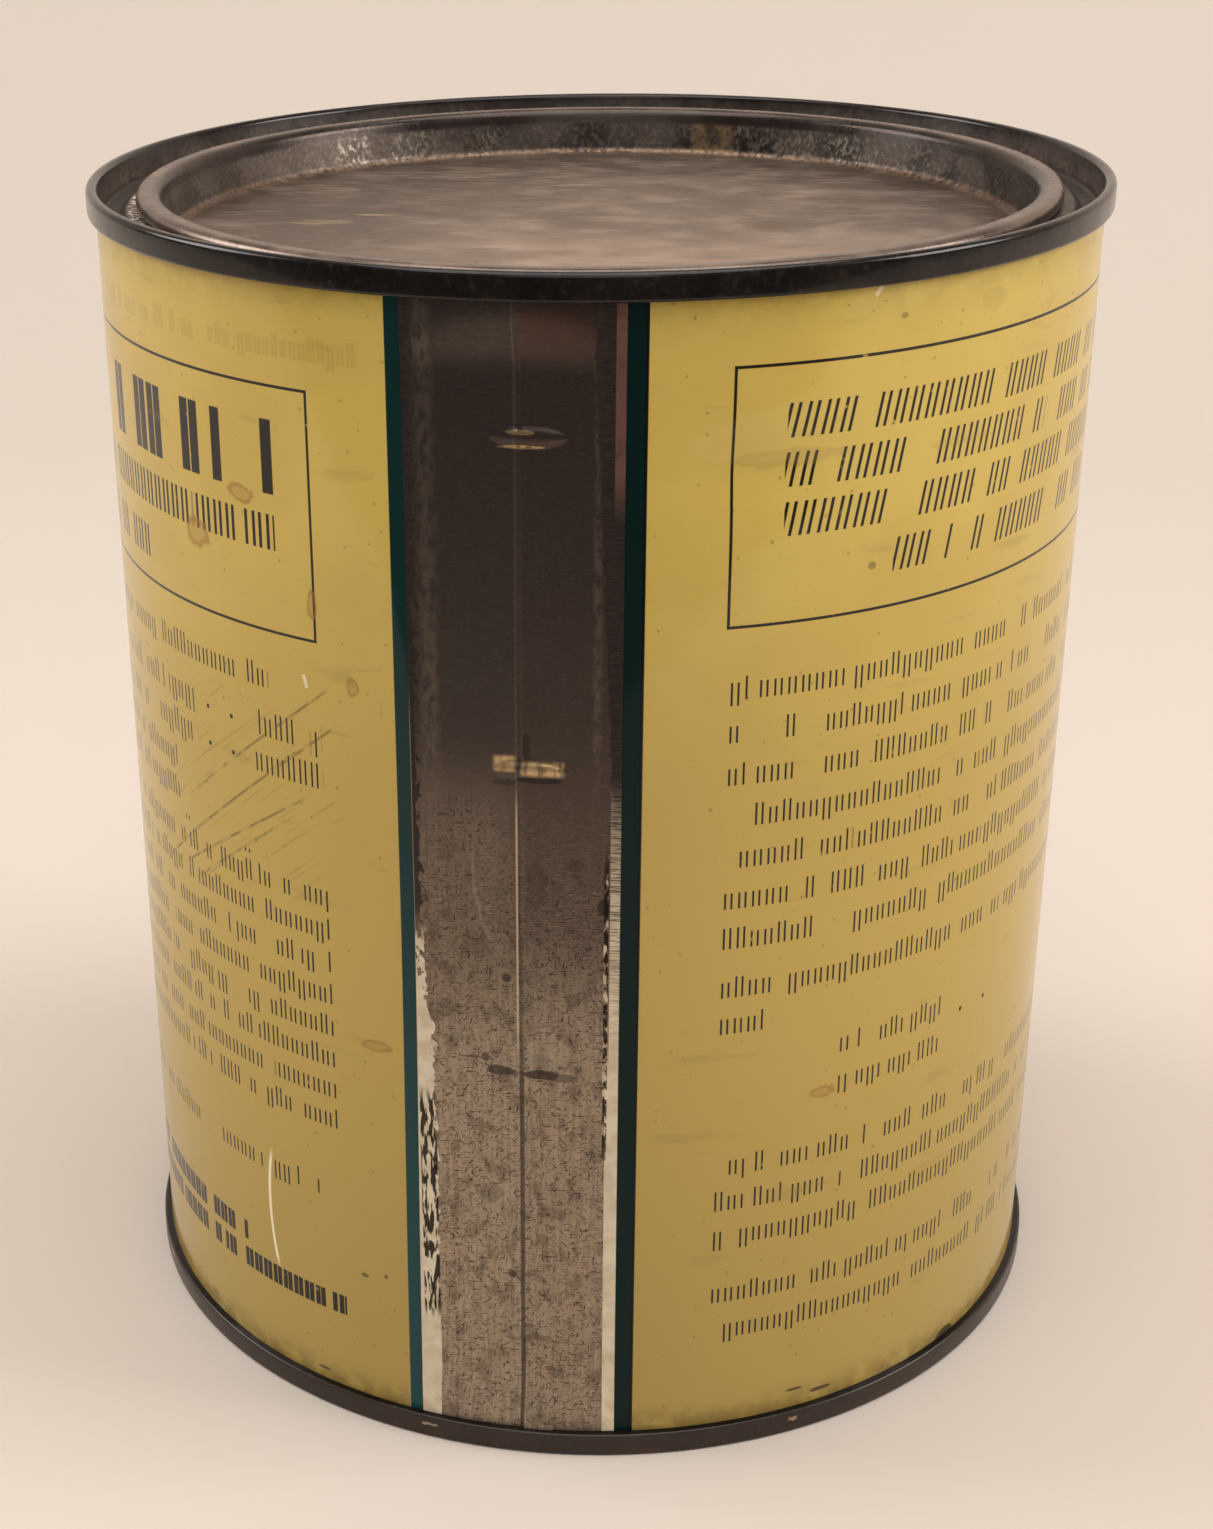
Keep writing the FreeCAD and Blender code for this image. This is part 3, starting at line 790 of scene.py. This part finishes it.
def rounded(corners, steps):
    """Points along a closed section, with each rounding drawn as an arc of short steps."""
    points = []
    for i, (radius, level, rounding) in enumerate(corners):
        here = Vector((radius, level))
        if not rounding:
            points.append(here)
            continue
        before = (Vector(corners[i - 1][:2]) - here).normalized()
        after = (Vector(corners[(i + 1) % len(corners)][:2]) - here).normalized()
        half = before.angle(after) / 2
        centre = here + (before + after).normalized() * rounding / math.sin(half)
        start = here + before * rounding / math.tan(half) - centre
        end = here + after * rounding / math.tan(half) - centre
        points += [centre + rounding * start.slerp(end, k / steps) for k in range(steps + 1)]
    return points


def turned(name, corners):
    """Draw a section vertex by vertex and spin it round the tin's axis into a closed piece."""
    leave_edit_mode()
    bpy.ops.mesh.primitive_plane_add(size=MM)
    piece = bpy.context.object
    piece.name = name
    points = rounded(corners, rounding_steps)
    if points[-1].x > 0:
        points.append(points[0])
    bpy.ops.object.mode_set(mode="EDIT")
    bpy.ops.mesh.select_mode(type="VERT")
    bpy.ops.mesh.merge(type="CENTER")
    bpy.ops.transform.translate(value=(points[0].x, 0, points[0].y))
    for here, after in zip(points, points[1:]):
        step = (after.x - here.x, 0, after.y - here.y)
        bpy.ops.mesh.extrude_vertices_move(TRANSFORM_OT_translate={"value": step})
    bpy.ops.mesh.select_all(action="SELECT")
    bpy.ops.mesh.spin(steps=turned_sides, angle=2 * math.pi, center=(0, 0, 0), axis=(0, 0, 1))
    bpy.ops.mesh.select_all(action="SELECT")
    bpy.ops.mesh.remove_doubles(threshold=fine_weld)
    bpy.ops.mesh.normals_make_consistent(inside=False)
    bpy.ops.object.mode_set(mode="OBJECT")
    bpy.ops.object.shade_smooth_by_angle(angle=smooth_angle)
    return piece


ring = turned(
    "lever_ring_piece",
    [
        (mouth_radius, tin_top - shoulder_depth, 0.6 * MM),
        (shoulder_radius, tin_top - shoulder_depth, 0.5 * MM),
        (chuck_foot - channel_width, tin_top - channel_depth, 0.5 * MM),
        (chuck_foot, tin_top - channel_depth, foot_rounding),
        (seam_inner, tin_top, seam_crown),
        (seam_radius, tin_top, seam_crown),
        (seam_radius, tin_top - seam_height, seam_hem),
        (seam_lip, tin_top - seam_height, 0),
        (seam_inner - plate, tin_top - channel_depth - plate, 0),
        (shoulder_radius, tin_top - shoulder_depth - plate, 0),
        (mouth_radius + plate, tin_top - shoulder_depth - plate, 0),
        (plug_foot + plate, lid_low.z, 0),
        (plug_foot, lid_low.z, 0),
    ],
)


def dark_tinplate(name):
    """Lacquered tinplate, nearly black, with rubbed edges; the wires that its wear builds on."""
    material, shader, wire = new_material(name, Coat_Roughness=0.1, Specular_IOR_Level=0.25)
    place = wire.node("ShaderNodeTexCoord", {}, {}, "Object")
    parts = wire.node("ShaderNodeSeparateXYZ", {}, {0: place})
    flat_place = wire.node("ShaderNodeCombineXYZ", {}, {0: parts.out("X"), 1: parts.out("Y")})
    radius = wire.node("ShaderNodeVectorMath", {"operation": "LENGTH"}, {0: flat_place}, "Value")
    turn_round = wire.maths("ARCTAN2", parts.out("X"), -parts.out("Y")) * (body_radius / MM)
    mottled = cloud(place, 6 * MM, 4.0)
    fine = cloud(place, 0.9 * MM, 3.0)
    lacquer = mottled.rise(0.35, 0.68).mix(colour(23, 19, 17), colour(36, 30, 26))
    paler_patches = (seam_radius - 0.35 * MM - radius).rise(0.3 * MM, -0.1 * MM) * fine.rise(0.5, 0.75)
    lacquer = (paler_patches * 0.14).mix(lacquer, colour(112, 94, 80))
    flecks = cloud(place, 0.7 * MM, 0.5, shift=3).rise(0.83, 0.87)
    lacquer = (flecks * 0.12).mix(lacquer, colour(120, 104, 90))
    level = parts.out("Z") * (1 / MM)
    return material, shader, (level, radius * (1 / MM), turn_round, fine, mottled, lacquer)


def finish_dark(shader, lacquer, dust, fine, mottled):
    """Dust dulls the lacquer's gloss; the plate below it is a little uneven."""
    plug(lacquer, shader, "Base Color")
    plug(dust * 0.3 + mottled * 0.16 + fine * 0.12 + 0.1, shader, "Roughness")
    plug((1 - dust) * 0.5, shader, "Metallic")
    plug((1 - dust) * 0.25, shader, "Coat Weight")
    add_relief(shader, 0.3, 0.15 * MM, fine * 0.1 + mottled)


material, shader, wires = dark_tinplate("dark tinplate")
level, radius, turn_round, fine, mottled, lacquer = wires
channel_edge = 59.6
shoulder_edge = 59.9
sunk = tin_top / MM - level
inner_wall = (seam_inner / MM - radius).rise(-0.2, 0.5)
dust = inner_wall * sunk.rise(0.15, 0.9) * mottled.rise(0.2, 0.7, 0.55, 1.0)
lacquer = dust.mix(lacquer, fine.rise(0.3, 0.7).mix(colour(70, 57, 50), colour(96, 80, 70)))
channel = (radius - channel_edge).rise(-0.4, 0.3) * sunk.rise(3.0, 3.6)
lacquer = (channel * 0.75).mix(lacquer, colour(46, 38, 33))
shoulder_worn = (shoulder_edge - radius).rise(-0.3, 0.2) * (turn_round + 76).between(-22, 16, 6.0)
shoulder_worn = shoulder_worn * sunk.rise(3.6, 3.3)
lacquer = (shoulder_worn * fine.rise(0.5, 0.62)).mix(lacquer, colour(196, 180, 160))
finish_dark(shader, lacquer, dust, fine, mottled)
ring.data.materials.append(material)
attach(ring, "root")
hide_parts("lever_ring")


# Plug lid: pressed from tarnished tinplate, pushed into the lever ring's mouth.
# A curled edge rests on the shoulder, and the panel lies sunk at the foot of the plug wall.
panel_level = lid_low.z + plate
panel_rounding = 1.2 * MM
curl_rounding = 1.05 * MM
lid = turned(
    "plug_lid",
    [
        (0, lid_low.z, 0),
        (plug_foot, lid_low.z, panel_rounding),
        (mouth_radius, tin_top - shoulder_depth, 0.6 * MM),
        (curl_radius, tin_top - shoulder_depth, curl_rounding),
        (curl_radius, lid_high.z, curl_rounding),
        (mouth_radius - 0.05 * MM, lid_high.z, 1.3 * MM),
        (plug_foot - 0.4 * MM, panel_level, panel_rounding),
        *[(plug_foot * k / 20, panel_level, 0) for k in range(19, -1, -1)],
    ],
)

# The sunk panel is thin, so it is a little wavy.
wave_length = 24 * MM
wave_height = 0.5 * MM
wavy = lid.vertex_groups.new(name="panel")
flat_part = [v.index for v in lid.data.vertices if v.co.xy.length < plug_foot - 2 * MM]
wavy.add([i for i in flat_part if lid.data.vertices[i].co.z > lid_low.z + 0.1 * MM], 1.0, "REPLACE")
waves = bpy.data.textures.new("panel waves", "CLOUDS")
waves.noise_scale = wave_length
waves.noise_depth = 0
dents = lid.modifiers.new("panel waves", "DISPLACE")
dents.texture = waves
dents.vertex_group = wavy.name
dents.direction = "Z"
dents.strength = wave_height
bpy.context.view_layer.objects.active = lid
bpy.ops.object.modifier_apply(modifier=dents.name)

material, shader, wire = new_material("tarnished tinplate")
place = wire.node("ShaderNodeTexCoord", {}, {}, "Object")
place = wire.node("ShaderNodeVectorMath", {"operation": "SCALE"}, {0: place, "Scale": 1 / MM})
parts = wire.node("ShaderNodeSeparateXYZ", {}, {0: place})
side, back, level = parts.out("X"), parts.out("Y"), parts.out("Z")
sheet = wire.node("ShaderNodeCombineXYZ", {}, {0: side, 1: back})
radius = wire.node("ShaderNodeVectorMath", {"operation": "LENGTH"}, {0: sheet}, "Value")
blotches = cloud(place, 7.0, 5.0)
fine = cloud(place, 0.7, 3.0)
speckle = cloud(place, 0.32, 2.0, shift=4)
brushed = cloud(place, 0.9, 4.0, stretch=(5, 1, 1), turn=0.1, shift=8)
smear = cloud(place, 14.0, 6.0, stretch=(1.3, 0.8, 1), shift=2)

# Panel: greyer at the left, dark towards the back and right, paler in front, all as a painted
# reflection, with stains and streaks.
panel = blotches.rise(0.3, 0.7).mix(colour(110, 94, 81), colour(140, 119, 102))
# Painted reflection: paler in front, greyer at the left, darker at the back and at the right.
panel = (back.rise(6, -26) * 0.85).mix(panel, colour(178, 152, 132))
panel = (side.rise(-4, -34) * 0.8).mix(panel, colour(90, 75, 64))
panel = (back.rise(16, 46) * 0.62).mix(panel, colour(88, 74, 64))
panel = (side.rise(22, 44) * back.rise(-10, 18) * 0.7).mix(panel, colour(80, 65, 54))
panel = (smear.rise(0.52, 0.7) * 0.36).mix(panel, colour(84, 70, 60))
panel = (smear.rise(0.44, 0.3) * 0.3).mix(panel, colour(168, 148, 130))
panel = (brushed.rise(0.5, 0.68) * 0.24).mix(panel, colour(170, 148, 128))
panel = (brushed.rise(0.48, 0.32) * 0.22).mix(panel, colour(76, 63, 54))
panel = (speckle.rise(0.6, 0.75) * 0.3).mix(panel, colour(66, 54, 46))
broken = brushed.rise(0.36, 0.6, 0.15, 1.0)
for right, high, half_width, half_height, strength, stain in (
    (-35.9, -3.3, 4.2, 1.6, 0.5, (180, 156, 112)),
    (-29.0, 2.2, 3.0, 0.7, 0.45, (190, 168, 126)),
    (-27.0, 36.0, 12.0, 5.0, 0.45, (158, 140, 120)),
    (-42.0, 19.0, 5.5, 4.5, 0.45, (160, 140, 118)),
    (21.2, 0.8, 3.4, 3.0, 0.55, (112, 84, 58)),
    (27.0, 0.0, 2.0, 1.4, 0.4, (112, 84, 58)),
    (-6.0, 27.0, 4.0, 1.0, 0.4, (172, 152, 132)),
    (38.0, 14.0, 4.6, 1.4, 0.4, (148, 128, 110)),
    (12.0, 33.0, 3.6, 3.0, 0.35, (140, 120, 100)),
):
    mark = spot(right, high, half_width, half_height, 1.8) * broken * strength
    panel = mark.mix(panel, colour(*stain))

# Plug wall: mottled nearly black, rubbed bright in two places, with rust along its foot.
wall = blotches.rise(0.35, 0.62).mix(colour(46, 39, 35), colour(74, 63, 55))
wall = (side.rise(-16, -42) * 0.5).mix(wall, colour(98, 83, 72))
wall = (fine.rise(0.46, 0.66) * 0.35).mix(wall, colour(120, 104, 90))
wall = (speckle.rise(0.5, 0.66) * 0.35).mix(wall, colour(40, 34, 31))
near_worn = cloud(place, 5.0, 3.0, shift=12)
worn = spot(-33, 44, 15, 12, 0).either(spot(24, 50, 12, 12, 0)) * near_worn.rise(0.36, 0.6)
worn = worn * cloud(place, 0.6, 4.0, stretch=(1, 1, 1.5), shift=6).rise(0.46, 0.66)
wall = (worn * 0.42).mix(wall, colour(176, 162, 144))
tan = spot(9.5, 52, 3.4, 6.0, 0) * near_worn.rise(0.34, 0.5) * fine.rise(0.3, 0.6, 0.4, 1.0)
wall = (tan * 0.7).mix(wall, colour(126, 102, 72))
panel_edge = plug_foot / MM - 0.9
wall_foot = panel_level / MM
foot_line = (radius - panel_edge).between(-0.5, 0.75, 0.3) * (level - wall_foot).rise(0.9, 0.3)
surface = (radius - panel_edge + 0.2).rise(-0.2, 0.3).mix(panel, wall)
surface = (foot_line * fine.rise(0.3, 0.65) * 0.6).mix(surface, colour(150, 118, 92))
inner_stain = (radius - panel_edge + 2.6).rise(-2.0, 2.2) * (1 - (level - wall_foot).rise(0.2, 0.6))
surface = (inner_stain * blotches.rise(0.35, 0.6) * 0.3).mix(surface, colour(96, 74, 56))

# Curled edge: handled smooth, brown and grey outside, with a painted dark reflection where it turns
# down to the wall.
bead_low = lid_high.z / MM - 2.3
past_mouth = radius - mouth_radius / MM - 0.5
bead = level.rise(bead_low, bead_low + 0.7).either(past_mouth.rise(-0.2, 0.2))
curl_with_dark_reflection = blotches.rise(0.3, 0.7).mix(colour(104, 88, 78), colour(132, 114, 101))
# Painted dark reflection on the curl's inner side.
curl_with_dark_reflection = past_mouth.rise(0.9, -0.6).mix(curl_with_dark_reflection, colour(62, 52, 47))
curl_with_dark_reflection = (speckle.rise(0.58, 0.72) * 0.5).mix(curl_with_dark_reflection, colour(58, 48, 42))
surface = bead.mix(surface, curl_with_dark_reflection)
plug(surface, shader, "Base Color")
rough = brushed * 0.2 + blotches * 0.24 + 0.24 - bead * 0.16
plug(rough - worn * 0.12, shader, "Roughness")
plug(0.8 - blotches.rise(0.45, 0.75) * 0.25, shader, "Metallic")
add_relief(shader, 0.5, sheet_relief, fine * 0.3 + speckle * 0.15 + brushed * 0.25)
lid.data.materials.append(material)
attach(lid, "root")
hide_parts("lever_lid")


# Base end: the same double seam below, round a sunk panel with an expansion ring.
# It is turned from the same dark tinplate, duller and a little rusty where it stands.
base_panel = 3.1 * MM
base_ring = 46 * MM
base_step = 61.8 * MM
base_rounding = 0.5 * MM
ring_rise = 0.6 * MM
base_outline = [
    (0, base_panel, 0),
    (base_ring - 3.6 * MM, base_panel, base_rounding),
    (base_ring - 2.8 * MM, base_panel + ring_rise, base_rounding),
    (base_ring - 0.8 * MM, base_panel + ring_rise, base_rounding),
    (base_ring, base_panel, base_rounding),
    (base_step - 0.8 * MM, base_panel, base_rounding),
    (base_step, channel_depth, base_rounding),
]
base = turned(
    "base_end_piece",
    [(radius, level + plate, rounding) for radius, level, rounding in base_outline]
    + [
        (seam_lip, seam_height, 0),
        (seam_radius, seam_height, seam_hem),
        (seam_radius, 0, seam_hem),
        (seam_inner, 0, seam_hem),
        (chuck_foot, channel_depth, foot_rounding),
    ]
    + base_outline[::-1],
)
material, shader, wires = dark_tinplate("dark base tinplate")
level, radius, turn_round, fine, mottled, lacquer = wires
dust = (seam_inner / MM - radius).rise(-0.3, 0.6) * mottled.rise(0.2, 0.7, 0.6, 1.0)
lacquer = dust.mix(lacquer, fine.rise(0.3, 0.7).mix(colour(88, 74, 64), colour(128, 110, 96)))
outer_face = (radius - seam_radius / MM).rise(-0.4, -0.1)
rust = mottled.rise(0.54, 0.66) * fine.rise(0.4, 0.6) * level.rise(1.6, 0.2)
lacquer = (outer_face * 0.55).mix(lacquer, colour(66, 54, 46))
lacquer = (rust * 0.3).mix(lacquer, colour(104, 66, 42))
for right, half_width, half_height in ((36.5, 0.8, 0.3), (-12.0, 1.2, 0.2), (-70.0, 1.2, 0.3)):
    across_chip = abs(turn_round - right + fine * 2 - 1) / half_width
    up_chip = abs(level - 2.6 + fine) / half_height
    chip = across_chip.either(up_chip).rise(1.1, 0.7) * outer_face
    lacquer = (chip * 0.8).mix(lacquer, colour(168, 142, 116))
finish_dark(shader, lacquer, dust.either(outer_face * 0.45), fine, mottled)
base.data.materials.append(material)
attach(base, "root")
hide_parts("base_end")
